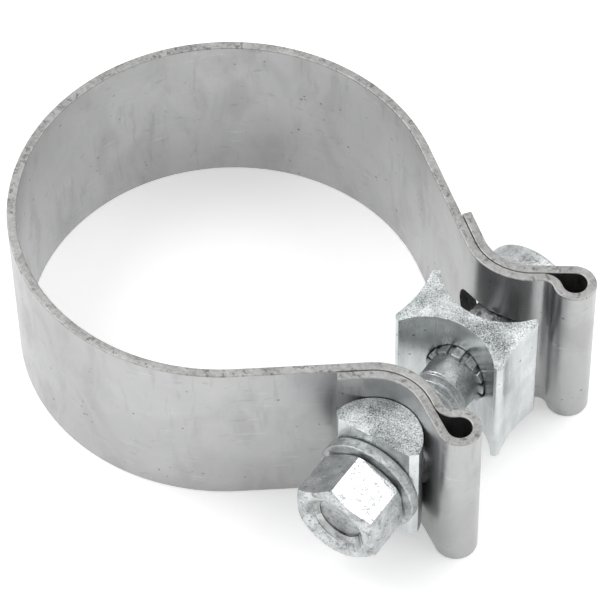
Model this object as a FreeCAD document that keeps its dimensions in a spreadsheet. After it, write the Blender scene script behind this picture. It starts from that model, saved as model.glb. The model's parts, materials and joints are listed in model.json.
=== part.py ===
import FreeCAD, Part
import math
import os
import Sketcher
from FreeCAD import Placement, Rotation, Vector

# Single-bolt band clamp for a pipe joint, in millimetres.
# Origin: centre of the pipe bore, half way up the band. +X runs from the pipe to the bolt,
# +Y from the nut side to the bolt's head, +Z along the pipe.
# The band is one bent strip on the real clamp. It is made here as a back arc and two arms that
# hinge at its ends, so that it can open and close the way the strip springs.

doc = FreeCAD.newDocument("band_clamp")

DIMENSIONS = {
    # band
    "bore_radius": 35.0,
    "band_width": 32.0,
    "strip_thickness": 1.6,
    "hinge_angle": 150.0,
    "hinge_clearance": 0.05,
    # seats folded in the strip's two ends
    "seat_spread": 23.8,
    "seat_clearance": 0.1,
    "layer_gap": 0.1,
    "bulb_radius": 2.05,
    "bulb_stand": 0.9,
    "bulb_drop": 6.15,
    "dip_radius": 1.9,
    "dip_slack": 0.07,
    "head_tail_length": 6.4,
    "nut_tail_length": 5.3,
    "slot_clearance": 0.59,
    "slot_inboard": 8.6,
    "slot_outboard": 7.4,
    # bolt
    "shank_radius": 4.76,
    "head_overhang": 0.25,
    "head_back": 1.9,
    "head_rounding": 0.8,
    "thread_pitch": 1.5875,
    "thread_depth": 0.85,
    "thread_root_flat": 0.2,
    "thread_crest_flat": 0.02,
    "thread_start": 3.0,
    "end_recess": 2.0,
    "end_chamfer": 0.8,
    "rib_count": 12.0,
    "rib_rise": 0.9,
    "rib_root": 1.0,
    "rib_breadth": 1.9,
    "rib_length": 10.7,
    "rib_gap": 0.75,
    # half-round bar under the nut
    "bar_radius": 8.05,
    "bar_bevel": 1.2,
    "bar_height": 21.7,
    "hole_clearance": 0.35,
    # spacer block
    "block_length": 20.8,
    "block_depth": 12.9,
    "block_height": 23.6,
    "block_waist": 3.0,
    "block_tip": 1.1,
    "block_gap": 8.1,
    "end_hollow": 0.7,
    "pipe_gap": 0.1,
    "rib_clearance": 0.06,
    # washer and nut
    "washer_radius": 9.0,
    "washer_thickness": 2.2,
    "washer_rounding": 0.3,
    "nut_across_flats": 14.29,
    "nut_height": 9.4,
    "nut_turn": 6.0,
    "nut_cone": 30.0,
    "nut_edge": 0.14,
    "nut_countersink": 0.75,
    "thread_clearance": 0.1,
    "face_gap": 0.02,
}

sheet = doc.addObject("Spreadsheet::Sheet", "Sizes")
for row, (name, value) in enumerate(DIMENSIONS.items(), start=1):
    sheet.set("A%d" % row, name)
    sheet.set("B%d" % row, str(value))
    sheet.setAlias("B%d" % row, name)
doc.recompute()


def size(name):
    """The value of a named cell."""
    return float(sheet.get(name))


def cell(name):
    """The expression that reads a named cell."""
    return "Sizes." + name


def polar(centre, radius, angle):
    """A point on a circle in the XY plane, from an angle in degrees."""
    turn = math.radians(angle)
    return centre + Vector(radius * math.cos(turn), radius * math.sin(turn), 0)


def heading(start, end):
    """The direction from one point to another, in degrees."""
    step = end - start
    return math.degrees(math.atan2(step.y, step.x))


# ---- places that several pieces share ----------------------------------------------------

# the bolt stands off the pipe by half of the spacer block and a gap
BOLT_X = "%s + %s + %s / 2" % (cell("bore_radius"), cell("pipe_gap"), cell("block_length"))
SEAT_Y = cell("seat_spread")
RIB_CORNER = "sqrt((%s + %s)^2 + (%s / 2)^2)" % (
    cell("shank_radius"), cell("rib_rise"), cell("rib_breadth"))


def bolt_x():
    return size("bore_radius") + size("pipe_gap") + size("block_length") / 2


def wrap_radius():
    """Outside of the two layers of strip that are folded round a seat."""
    return size("bar_radius") + size("seat_clearance") + 2 * size("strip_thickness") + size("layer_gap")


def crest_y():
    """How near the fold of the head side comes to the middle of the bolt."""
    return size("seat_spread") - wrap_radius()


# ---- the strip's centre line -------------------------------------------------------------

class Bend:
    """A round stretch of a path: turn is +1 anticlockwise and -1 clockwise."""

    def __init__(self, centre, radius, turn, start, end):
        self.centre = centre
        self.radius = radius
        self.turn = turn
        self.start = start
        self.end = end

    def shifted(self, left):
        """The same stretch, moved sideways to its left."""
        return Bend(self.centre, self.radius - self.turn * left, self.turn, self.start, self.end)

    def reversed(self):
        return Bend(self.centre, self.radius, -self.turn, self.end, self.start)

    def edge(self):
        circle = Part.Circle(self.centre, Vector(0, 0, 1), self.radius)
        first, last = (self.start, self.end) if self.turn > 0 else (self.end, self.start)
        return Part.ArcOfCircle(circle, math.radians(first), math.radians(last))


class Run:
    """A straight stretch of a path."""

    def __init__(self, start, end):
        self.start = start
        self.end = end

    def shifted(self, left):
        along = (self.end - self.start).normalize()
        sideways = Vector(-along.y, along.x, 0) * left
        return Run(self.start + sideways, self.end + sideways)

    def reversed(self):
        return Run(self.end, self.start)

    def edge(self):
        return Part.LineSegment(self.start, self.end)


def crossing_tangent(centre_a, radius_a, centre_b, radius_b, turn_a):
    """Heading of the tangent that leaves circle a and joins circle b, which turns the other way."""
    gap = (centre_b - centre_a).Length
    lean = math.degrees(math.asin((radius_a + radius_b) / gap))
    return heading(centre_a, centre_b) + turn_a * lean


def meeting_point(centre_a, reach_a, centre_b, reach_b):
    """The point at these distances from two centres, to the right of the way from a to b."""
    gap = (centre_b - centre_a).Length
    along = (reach_a ** 2 - reach_b ** 2 + gap ** 2) / (2 * gap)
    aside = math.sqrt(reach_a ** 2 - along ** 2)
    way = (centre_b - centre_a) / gap
    return centre_a + way * along + Vector(way.y, -way.x, 0) * aside


def arm_path(tail):
    """Centre line of the head-side arm, from its hinge to the folded-back end.

    It follows the pipe clockwise, flares out, wraps the seat, turns back round the bulb and
    lies on itself round the seat again.
    """
    half = size("strip_thickness") / 2
    origin = Vector(0, 0, 0)
    seat = Vector(bolt_x(), size("seat_spread"), 0)
    bulb = seat + Vector(wrap_radius() + size("bulb_stand"), -size("bulb_drop"), 0)
    ring_radius = size("bore_radius") + half
    near_radius = size("bar_radius") + size("seat_clearance") + half
    far_radius = near_radius + 2 * half + size("layer_gap")
    bulb_radius = size("bulb_radius") + half
    dip_radius = size("dip_radius") + half
    dip = meeting_point(seat, far_radius + dip_radius + size("dip_slack"),
                        bulb, bulb_radius + dip_radius)
    bulb_turn = heading(bulb, dip)

    flare = crossing_tangent(origin, ring_radius, seat, far_radius, -1)
    sweep = crossing_tangent(seat, far_radius, dip, dip_radius, 1)
    fold = crossing_tangent(bulb, bulb_radius, seat, near_radius, 1)

    path = []
    path.append(Bend(origin, ring_radius, -1, size("hinge_angle"), flare + 90))
    path.append(Run(polar(origin, ring_radius, flare + 90), polar(seat, far_radius, flare - 90)))
    path.append(Bend(seat, far_radius, 1, flare - 90, sweep - 90))
    path.append(Run(polar(seat, far_radius, sweep - 90), polar(dip, dip_radius, sweep + 90)))
    path.append(Bend(dip, dip_radius, -1, sweep + 90, bulb_turn - 180))
    path.append(Bend(bulb, bulb_radius, 1, bulb_turn, fold - 90))
    path.append(Run(polar(bulb, bulb_radius, fold - 90), polar(seat, near_radius, fold + 90)))
    path.append(Bend(seat, near_radius, -1, fold + 90, flare - 90))
    tail_start = polar(seat, near_radius, flare - 90)
    path.append(Run(tail_start, polar(tail_start, tail, flare + 180)))
    return path


def arm_outline(tail):
    """The arm's closed outline: both sides of the path, a square end and a round hinge end."""
    half = size("strip_thickness") / 2
    path = arm_path(tail)
    left = [piece.shifted(half) for piece in path]
    right = [piece.shifted(-half).reversed() for piece in reversed(path)]
    square_end = Run(left[-1].end, right[0].start)
    hinge = polar(Vector(0, 0, 0), path[0].radius, path[0].start)
    round_end = Bend(hinge, half, 1, path[0].start, path[0].start + 180)
    return left + [square_end] + right + [round_end]


def back_outline():
    """The back arc's closed outline. Its flat ends stand off the arms' round ends."""
    inner = size("bore_radius")
    half = size("strip_thickness") / 2
    outer = inner + 2 * half
    stand_off = math.degrees((half + size("hinge_clearance")) / (inner + half))
    first = size("hinge_angle") + stand_off
    last = 360 - first
    origin = Vector(0, 0, 0)
    return [
        Bend(origin, outer, 1, first, last),
        Run(polar(origin, outer, last), polar(origin, inner, last)),
        Bend(origin, inner, -1, last, first),
        Run(polar(origin, inner, first), polar(origin, outer, first)),
    ]


# ---- sketches and features ---------------------------------------------------------------

def new_body(label):
    body = doc.addObject("PartDesign::Body", label)
    body.Label = label
    return body


def new_sketch(body, name, plane, edges):
    """A sketch on one of the body's own origin planes, holding a closed loop of edges."""
    sketch = body.newObject("Sketcher::SketchObject", name)
    support = [item for item in body.Origin.OriginFeatures if item.Role == plane][0]
    sketch.AttachmentSupport = [(support, "")]
    sketch.MapMode = "FlatFace"
    for edge in edges:
        sketch.addGeometry(edge, False)
    tie_ends(sketch)
    return sketch


def tie_ends(sketch):
    """Coincident constraints wherever two neighbouring edges of a loop share an end."""
    count = len(sketch.Geometry)
    for index in range(count):
        if not hasattr(sketch.Geometry[index], "StartPoint"):
            continue
        after = (index + 1) % count
        for end in (1, 2):
            for start in (1, 2):
                gap = sketch.getPoint(index, end) - sketch.getPoint(after, start)
                if gap.Length < 1e-6:
                    sketch.addConstraint(Sketcher.Constraint("Coincident", index, end, after, start))


def bind_radius(sketch, index, name, expression):
    """Hold an arc or circle at a size of the sheet."""
    radius = sketch.Geometry[index].Radius
    sketch.addConstraint(Sketcher.Constraint("Radius", index, radius))
    sketch.renameConstraint(len(sketch.Constraints) - 1, name)
    sketch.setExpression("Constraints." + name, expression)


def polygon(points):
    """Straight edges round a closed loop of (x, y) points."""
    corners = [Vector(x, y, 0) for x, y in points]
    return [Part.LineSegment(corners[i - 1], corners[i]) for i in range(len(corners))]


def circle(radius):
    return Part.Circle(Vector(0, 0, 0), Vector(0, 0, 1), radius)


def pad(body, name, sketch, length):
    """An extrusion, half to each side of the sketch, whose length is an expression."""
    feature = body.newObject("PartDesign::Pad", name)
    feature.Profile = sketch
    feature.SideType = "Symmetric"
    feature.setExpression("Length", length)
    body.Tip = feature
    doc.recompute()
    return feature


def pocket(body, name, sketch):
    """A cut right through, to both sides of the sketch."""
    before = body.Shape.Volume
    feature = body.newObject("PartDesign::Pocket", name)
    feature.Profile = sketch
    feature.SideType = "Symmetric"
    feature.Type = "ThroughAll"
    body.Tip = feature
    doc.recompute()
    if not body.Shape.Volume < before:
        raise RuntimeError(name + " cuts nothing")
    return feature


def turned(body, kind, name, sketch):
    """A full Revolution or Groove of a sketch about the body's Y axis."""
    before = body.Shape.Volume if body.Shape and not body.Shape.isNull() else 0.0
    feature = body.newObject("PartDesign::" + kind, name)
    feature.Profile = sketch
    axis = [item for item in body.Origin.OriginFeatures if item.Role == "Y_Axis"][0]
    feature.ReferenceAxis = (axis, [""])
    feature.Angle = 360.0
    body.Tip = feature
    doc.recompute()
    grew = body.Shape.Volume - before
    if (kind == "Revolution") != (grew > 0):
        raise RuntimeError(name + " changes the body the wrong way")
    return feature


def place(body, x="0", y="0"):
    """Stand a body at a place given by expressions."""
    body.setExpression("Placement.Base.x", x)
    body.setExpression("Placement.Base.y", y)
    doc.recompute()


# ---- band --------------------------------------------------------------------------------

def slot_edges():
    """The bolt's slot seen along Y: straight sides with round ends, long enough for the swing."""
    half = size("shank_radius") + size("slot_clearance")
    left = bolt_x() - size("slot_inboard") + half
    right = bolt_x() + size("slot_outboard") - half
    axis = Vector(0, 0, 1)
    left_end = Part.Circle(Vector(left, 0, 0), axis, half)
    right_end = Part.Circle(Vector(right, 0, 0), axis, half)
    quarter = math.pi / 2
    return [
        Part.LineSegment(Vector(left, half, 0), Vector(right, half, 0)),
        Part.ArcOfCircle(right_end, -quarter, quarter),
        Part.LineSegment(Vector(right, -half, 0), Vector(left, -half, 0)),
        Part.ArcOfCircle(left_end, quarter, 3 * quarter),
    ]


def make_back():
    body = new_body("band_back")
    sketch = new_sketch(body, "back_outline", "XY_Plane", [item.edge() for item in back_outline()])
    bind_radius(sketch, 0, "outside", cell("bore_radius") + " + " + cell("strip_thickness"))
    bind_radius(sketch, 2, "inside", cell("bore_radius"))
    pad(body, "back_strip", sketch, cell("band_width"))
    return body


def make_arm(label, side, tail):
    """One arm of the band: side is +1 for the head side and -1 for the nut side."""
    body = new_body(label)
    edges = [item.edge() for item in arm_outline(tail)]
    if side < 0:
        for edge in edges:
            edge.mirror(Vector(0, 0, 0), Vector(1, 0, 0))
    sketch = new_sketch(body, label + "_outline", "XY_Plane", edges)
    pad(body, label + "_strip", sketch, cell("band_width"))
    slot = new_sketch(body, label + "_slot_outline", "XZ_Plane", slot_edges())
    bind_radius(slot, 1, "slot_end", cell("shank_radius") + " + " + cell("slot_clearance"))
    pocket(body, label + "_slot", slot)
    return body


# ---- bolt --------------------------------------------------------------------------------

def make_bolt():
    """Bolt with a round head whose front is half-round across the seat, ribs and a thread."""
    body = new_body("bolt")
    seat = size("seat_spread")
    nose = size("bar_radius")
    head = nose + size("head_overhang")
    back = seat + size("head_back")
    front = seat - nose
    rounding = size("head_rounding")
    quarter = math.pi / 2
    corner = Part.Circle(Vector(head - rounding, back - rounding, 0), Vector(0, 0, 1), rounding)
    disc = [
        Part.LineSegment(Vector(0, front, 0), Vector(head, front, 0)),
        Part.LineSegment(Vector(head, front, 0), Vector(head, back - rounding, 0)),
        Part.ArcOfCircle(corner, 0, quarter),
        Part.LineSegment(Vector(head - rounding, back, 0), Vector(0, back, 0)),
        Part.LineSegment(Vector(0, back, 0), Vector(0, front, 0)),
    ]
    sketch = new_sketch(body, "head_outline", "XY_Plane", disc)
    bind_radius(sketch, 2, "head_edge", cell("head_rounding"))
    turned(body, "Revolution", "head", sketch)

    # what lies in front of the half-round nose is cut away
    seat_circle = Part.Circle(Vector(0, seat, 0), Vector(0, 0, 1), nose)
    clear = 2 * nose
    outside = polygon([(nose, seat), (clear, seat), (clear, front - nose),
                       (-clear, front - nose), (-clear, seat), (-nose, seat)])[1:]
    outside.append(Part.ArcOfCircle(seat_circle, math.pi, 2 * math.pi))
    nose_cut = new_sketch(body, "nose_outline", "XY_Plane", outside)
    bind_radius(nose_cut, len(outside) - 1, "nose", cell("bar_radius"))
    pocket(body, "nose_cut", nose_cut)

    shank = new_sketch(body, "shank_outline", "XY_Plane", polygon(shank_points(seat)))
    turned(body, "Revolution", "shank", shank)
    add_ribs(body)
    place(body, x=BOLT_X)
    return body


def bolt_end():
    """The height of the bolt's flat end along its axis, inside the nut."""
    nut_face = -size("seat_spread") - size("washer_thickness")
    nut_face -= size("nut_height") + 2 * size("face_gap")
    return nut_face + size("end_recess")


def shank_points(seat):
    """Half of the shank's outline: plain from the head to the thread, then ridges to the end."""
    radius = size("shank_radius")
    root = radius - size("thread_depth")
    pitch = size("thread_pitch")
    upper_root = (pitch - size("thread_root_flat")) / 2
    lower_root = (pitch + size("thread_root_flat")) / 2
    end = bolt_end()
    chamfer = size("end_chamfer")
    turns = int((-size("thread_start") - end - chamfer) / pitch)
    points = [(0, seat), (radius, seat)]
    top = -size("thread_start")
    for turn in range(turns):
        crest = top - turn * pitch
        points.append((radius, crest))
        points.append((root, crest - upper_root))
        points.append((root, crest - lower_root))
        points.append((radius, crest - pitch + size("thread_crest_flat")))
    points.append((radius, end + chamfer))
    points.append((radius - chamfer, end))
    points.append((0, end))
    return points


def add_ribs(body):
    """Square ribs round the shank that grip the spacer block's bore."""
    count = int(size("rib_count"))
    half = size("rib_breadth") / 2
    inside = size("shank_radius") - size("rib_root")
    outside = size("shank_radius") + size("rib_rise")
    middle = crest_y() - size("rib_gap") - size("rib_length") / 2
    tooth = polygon([(inside, -half), (outside, -half), (outside, half), (inside, half)])
    sketch = new_sketch(body, "rib_outline", "XZ_Plane", tooth)
    sketch.AttachmentOffset = Placement(Vector(0, 0, -middle), Rotation())
    rib = pad(body, "rib", sketch, cell("rib_length"))
    ring = body.newObject("PartDesign::PolarPattern", "rib_ring")
    axis = [item for item in body.Origin.OriginFeatures if item.Role == "Y_Axis"][0]
    ring.Originals = [rib]
    ring.Axis = (axis, [""])
    ring.Angle = 360.0
    ring.Occurrences = count
    body.Tip = ring
    doc.recompute()


# ---- bar, block, washer and nut ----------------------------------------------------------

def make_bar():
    """Half-round bar that seats the nut in the band's nut-side fold."""
    body = new_body("seat_bar")
    radius = size("bar_radius")
    bevel = size("bar_bevel")
    origin = Vector(0, 0, 0)
    lift = math.degrees(math.asin(bevel / radius))
    right = polar(origin, radius, lift)
    left = polar(origin, radius, 180 - lift)
    nose = Part.Circle(origin, Vector(0, 0, 1), radius)
    outline = [
        Part.ArcOfCircle(nose, math.radians(lift), math.radians(180 - lift)),
        Part.LineSegment(left, Vector(bevel - radius, 0, 0)),
        Part.LineSegment(Vector(bevel - radius, 0, 0), Vector(radius - bevel, 0, 0)),
        Part.LineSegment(Vector(radius - bevel, 0, 0), right),
    ]
    sketch = new_sketch(body, "bar_outline", "XY_Plane", outline)
    bind_radius(sketch, 0, "nose", cell("bar_radius"))
    pad(body, "bar_stock", sketch, cell("bar_height"))
    bore(body, cell("shank_radius") + " + " + cell("hole_clearance"))
    place(body, x=BOLT_X, y="-" + SEAT_Y)
    return body


def bore(body, radius):
    """A round hole along Y through a body, whose radius is an expression."""
    sketch = new_sketch(body, body.Label + "_bore_outline", "XZ_Plane", [circle(1.0)])
    sketch.addConstraint(Sketcher.Constraint("Coincident", 0, 3, -1, 1))
    bind_radius(sketch, 0, "bore", radius)
    doc.recompute()
    pocket(body, body.Label + "_bore", sketch)


def block_edges():
    """The spacer block's outline: deep hollows facing the seats, shallow ones at the ends."""
    long = size("block_length") / 2
    deep = size("block_depth") / 2
    tip = size("block_tip")
    waist = size("block_waist") / 2
    hollow = size("end_hollow")

    def arc(first, middle, last):
        return Part.Arc(Vector(*first, 0), Vector(*middle, 0), Vector(*last, 0))

    def line(first, last):
        return Part.LineSegment(Vector(*first, 0), Vector(*last, 0))

    inner = long - tip
    return [
        arc((-inner, deep), (0, waist), (inner, deep)),
        line((inner, deep), (long, deep - tip)),
        arc((long, deep - tip), (long - hollow, 0), (long, tip - deep)),
        line((long, tip - deep), (inner, -deep)),
        arc((inner, -deep), (0, -waist), (-inner, -deep)),
        line((-inner, -deep), (-long, tip - deep)),
        arc((-long, tip - deep), (hollow - long, 0), (-long, deep - tip)),
        line((-long, deep - tip), (-inner, deep)),
    ]


def make_block():
    body = new_body("spacer_block")
    sketch = new_sketch(body, "block_outline", "XY_Plane", block_edges())
    pad(body, "block_stock", sketch, cell("block_height"))
    bore(body, RIB_CORNER + " + " + cell("rib_clearance"))
    layers = "2 * %s + %s + %s" % (cell("strip_thickness"), cell("layer_gap"), cell("seat_clearance"))
    crest = "%s - %s - (%s)" % (SEAT_Y, cell("bar_radius"), layers)
    place(body, x=BOLT_X, y="%s - %s" % (crest, cell("block_gap")))
    return body


def make_washer():
    body = new_body("washer")
    inside = size("shank_radius") + size("hole_clearance")
    outside = size("washer_radius")
    rounding = size("washer_rounding")
    top = -size("face_gap")
    low = top - size("washer_thickness")
    ring = polygon([(inside, top), (outside - rounding, top), (outside, top - rounding),
                    (outside, low + rounding), (outside - rounding, low), (inside, low)])
    sketch = new_sketch(body, "washer_outline", "XY_Plane", ring)
    turned(body, "Revolution", "washer_ring", sketch)
    place(body, x=BOLT_X, y="-" + SEAT_Y)
    return body


def make_nut():
    """Hexagon nut, chamfered at both ends, with a countersunk bore."""
    body = new_body("nut")
    flat = size("nut_across_flats") / 2
    corner = flat / math.cos(math.radians(30))
    height = size("nut_height")
    turn = size("nut_turn")
    hexagon = [polar(Vector(0, 0, 0), corner, 60 * step + 30 + turn) for step in range(6)]
    sketch = new_sketch(body, "nut_outline", "XZ_Plane", polygon([(p.x, p.y) for p in hexagon]))
    pad(body, "nut_stock", sketch, cell("nut_height"))

    # the corners are turned down to a cone that starts just inside the flats' middles
    slope = math.tan(math.radians(size("nut_cone")))
    land = flat - size("nut_edge")
    reach = 2 * corner - land
    for name, end in (("top", 1), ("low", -1)):
        face = end * height / 2
        cone = [(land, face), (reach, face), (reach, face - end * (reach - land) * slope)]
        cut = new_sketch(body, "nut_%s_cone" % name, "XY_Plane", polygon(cone))
        turned(body, "Groove", "nut_%s_chamfer" % name, cut)

    bore_radius = size("shank_radius") + size("thread_clearance")
    sink = size("nut_countersink")
    mouth = bore_radius + sink
    half = height / 2
    hole = polygon([(0, half), (mouth, half), (bore_radius, half - sink), (bore_radius, sink - half),
                    (mouth, -half), (0, -half)])
    sketch = new_sketch(body, "nut_bore_outline", "XY_Plane", hole)
    turned(body, "Groove", "nut_bore", sketch)
    seat = "-%s - %s" % (SEAT_Y, cell("washer_thickness"))
    place(body, x=BOLT_X, y="%s - 2 * %s - %s / 2" % (seat, cell("face_gap"), cell("nut_height")))
    return body


# ---- build, check and write --------------------------------------------------------------

PARTS = [
    make_back(),
    make_arm("band_head_arm", 1, size("head_tail_length")),
    make_arm("band_nut_arm", -1, size("nut_tail_length")),
    make_bolt(),
    make_block(),
    make_bar(),
    make_washer(),
    make_nut(),
]
doc.recompute()

for item in doc.Objects:
    if "Invalid" in item.State or "Error" in item.State:
        raise RuntimeError("%s did not recompute" % item.Name)
for item in PARTS:
    if item.Shape.isNull() or not item.Shape.isValid() or len(item.Shape.Solids) != 1:
        raise RuntimeError("%s is not one valid solid" % item.Label)

os.makedirs("parts", exist_ok=True)
for item in PARTS:
    item.Shape.exportStep("parts/%s.step" % item.Label)
    box = item.Shape.BoundBox
    print("%-14s volume %9.2f  X %7.2f %7.2f  Y %7.2f %7.2f  Z %7.2f %7.2f" % (
        item.Label, item.Shape.Volume, box.XMin, box.XMax, box.YMin, box.YMax, box.ZMin, box.ZMax))
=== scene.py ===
import json
import math

import bmesh
import bpy
import numpy as np
from mathutils import Matrix, Vector


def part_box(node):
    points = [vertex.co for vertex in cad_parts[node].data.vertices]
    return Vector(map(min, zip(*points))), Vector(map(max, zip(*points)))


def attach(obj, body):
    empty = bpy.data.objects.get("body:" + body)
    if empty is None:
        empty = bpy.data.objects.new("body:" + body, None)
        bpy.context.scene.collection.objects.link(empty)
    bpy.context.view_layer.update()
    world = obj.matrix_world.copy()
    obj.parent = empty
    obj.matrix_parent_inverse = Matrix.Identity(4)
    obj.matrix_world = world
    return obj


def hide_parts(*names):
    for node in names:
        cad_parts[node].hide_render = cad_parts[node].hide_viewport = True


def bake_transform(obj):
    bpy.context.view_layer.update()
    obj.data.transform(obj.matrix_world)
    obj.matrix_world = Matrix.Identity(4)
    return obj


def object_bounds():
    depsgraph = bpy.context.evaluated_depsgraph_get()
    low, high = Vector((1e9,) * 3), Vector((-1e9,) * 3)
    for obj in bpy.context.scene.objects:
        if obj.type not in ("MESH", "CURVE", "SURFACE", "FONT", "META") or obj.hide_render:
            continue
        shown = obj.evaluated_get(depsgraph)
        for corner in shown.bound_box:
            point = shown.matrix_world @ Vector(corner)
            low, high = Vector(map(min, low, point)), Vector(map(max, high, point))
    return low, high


# A single-bolt band clamp: a bent stainless strip with a folded seat at each end, and a zinc
# plated bolt, spacer block, half-round bar, washer and nut that draw the two seats together.
# +X runs from the pipe to the bolt, +Y from the nut to the bolt's head, +Z along the pipe.

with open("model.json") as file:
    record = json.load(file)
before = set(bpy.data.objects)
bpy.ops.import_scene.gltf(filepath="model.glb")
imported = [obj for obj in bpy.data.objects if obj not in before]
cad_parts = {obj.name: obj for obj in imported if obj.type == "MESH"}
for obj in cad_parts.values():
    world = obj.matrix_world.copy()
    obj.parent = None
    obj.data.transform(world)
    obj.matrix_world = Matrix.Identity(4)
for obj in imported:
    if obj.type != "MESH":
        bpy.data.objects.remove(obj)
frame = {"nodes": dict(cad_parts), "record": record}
CAD_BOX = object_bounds()

MM = 0.001
record = frame["record"]
mounts = {mount["name"]: mount for mount in record["mounts"]}
joints = {joint["name"]: joint for joint in record["behaviour"]["joints"]}
boxes = {node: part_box(node) for node in frame["nodes"]}


def extent(node, axis):
    """Length of a CAD piece's box along an axis, 0 to 2."""
    low, high = boxes[node]
    return high[axis] - low[axis]


# ---- sizes and places --------------------------------------------------------------------
# A ROLL is the small round on a piece's edges.

BORE = mounts["pipe_bore"]["dims"]["r_mm"] * MM
WIDTH = mounts["pipe_bore"]["dims"]["length_mm"] * MM
BOLT_X = joints["bolt_swivel"]["pos_m"][0]
SEAT_Y = joints["bolt_swivel"]["pos_m"][1]
HINGE_X = joints["head_arm_flex"]["pos_m"][0]

STRIP = 1.6 * MM
HALF_STRIP = STRIP / 2
EDGE_ROLL = 0.22 * MM
LAYER_GAP = 0.1 * MM
SEAT_GAP = 0.1 * MM
BAR_RADIUS = extent("seat_bar", 1)
BAR_HEIGHT = extent("seat_bar", 2)
BAR_BEVEL = 1.2 * MM
BAR_ROLL = 0.3 * MM
BULB_RADIUS = 2.05 * MM
BULB_STAND = 0.9 * MM
BULB_DROP = 6.15 * MM
DIP_RADIUS = 1.9 * MM
DIP_SLACK = 0.07 * MM
HEAD_TAIL = 6.4 * MM
NUT_TAIL = 5.3 * MM
SLOT_HALF = 5.35 * MM
SLOT_INBOARD = 8.6 * MM
SLOT_OUTBOARD = 7.4 * MM
SLOT_START = 4 * MM
RIM_ROLL = 0.12 * MM
SEAM_LENGTH = 2 * MM

SHANK = 4.76 * MM
PITCH = 1.5875 * MM
THREAD_DEPTH = 0.85 * MM
THREAD_TOP = -3.0 * MM
THREAD_FADE = 0.45 * PITCH
BOLT_CHAMFER = 0.8 * MM
BOLT_LOW = boxes["bolt"][0][1]
HEAD_TOP = boxes["bolt"][1][1]
HEAD_RADIUS = 8.3 * MM
HEAD_ROUNDING = 0.9 * MM
HEAD_ROLL = 0.25 * MM
RIBS = 12
RIB_RADIUS = 5.66 * MM
RIB_BREADTH = 1.9 * MM
RIB_FRONT = 0.7 * MM
RIB_ROOT = 5.15 * MM
RIB_BACK = 11.6 * MM
RIB_FOOT = SHANK - 0.6 * MM
RIB_CROWN = RIB_RADIUS - 0.05 * MM
RIB_ROLL = 0.22 * MM
ROOT_START = 0.2 * MM
ROOT_FULL = 1.2 * MM

BLOCK_LENGTH = extent("spacer_block", 0)
BLOCK_DEPTH = extent("spacer_block", 1)
BLOCK_HEIGHT = extent("spacer_block", 2)
BLOCK_Y = (boxes["spacer_block"][0][1] + boxes["spacer_block"][1][1]) / 2
BLOCK_WAIST = 3.0 * MM
BLOCK_TIP = 1.1 * MM
END_HOLLOW = 0.7 * MM
BLOCK_BORE = 5.8 * MM
BLOCK_ROLL = 0.28 * MM

WASHER_RADIUS = extent("washer", 2) / 2
WASHER_LOW, WASHER_HIGH = boxes["washer"][0][1], boxes["washer"][1][1]
WASHER_ROLL = 0.55 * MM
WASHER_EDGE = 0.25 * MM
HOLE = SHANK + 0.35 * MM
NUT_LOW, NUT_HIGH = boxes["nut"][0][1], boxes["nut"][1][1]
NUT_FLAT = 14.29 / 2 * MM
NUT_TURN = 6
NUT_CONE = 30
NUT_LAND = NUT_FLAT - 0.25 * MM
NUT_BORE = SHANK + 0.12 * MM
NUT_SINK = 0.75 * MM
NUT_ROLL = 0.16 * MM
NUT_FACE_DEPTH = 2.2 * MM

# How far a cutting tool runs past its work, and how far two parts of a piece overlap.
TOOL_MARGIN = 0.5 * MM
OVERLAP = 0.02 * MM


# ---- plane curves ------------------------------------------------------------------------

def polar(centre, radius, degrees):
    """A point on a circle in the XY plane."""
    turn = math.radians(degrees)
    return np.array([centre[0] + radius * math.cos(turn), centre[1] + radius * math.sin(turn)])


def arc(centre, radius, start, end, step=4.0):
    """Points round an arc from one angle to another, both ends included."""
    count = max(2, round(abs(end - start) / step) + 1)
    return [polar(centre, radius, angle) for angle in np.linspace(start, end, count)]


def run(start, end, spacing=1.5 * MM):
    """Points along a straight stretch, without its ends."""
    count = max(2, round(np.linalg.norm(end - start) / spacing) + 1)
    return [start + (end - start) * share for share in np.linspace(0, 1, count)[1:-1]]


def crossing_tangent(centre_a, radius_a, centre_b, radius_b, turn):
    """Heading of the tangent from circle a to circle b, which turns the other way."""
    gap = centre_b - centre_a
    lean = math.degrees(math.asin((radius_a + radius_b) / np.linalg.norm(gap)))
    return math.degrees(math.atan2(gap[1], gap[0])) + turn * lean


def meeting_point(centre_a, reach_a, centre_b, reach_b):
    """The point at these distances from two centres, to the right of the way from a to b."""
    gap = np.linalg.norm(centre_b - centre_a)
    along = (reach_a ** 2 - reach_b ** 2 + gap ** 2) / (2 * gap)
    aside = math.sqrt(reach_a ** 2 - along ** 2)
    way = (centre_b - centre_a) / gap
    return centre_a + way * along + np.array([way[1], -way[0]]) * aside


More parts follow.
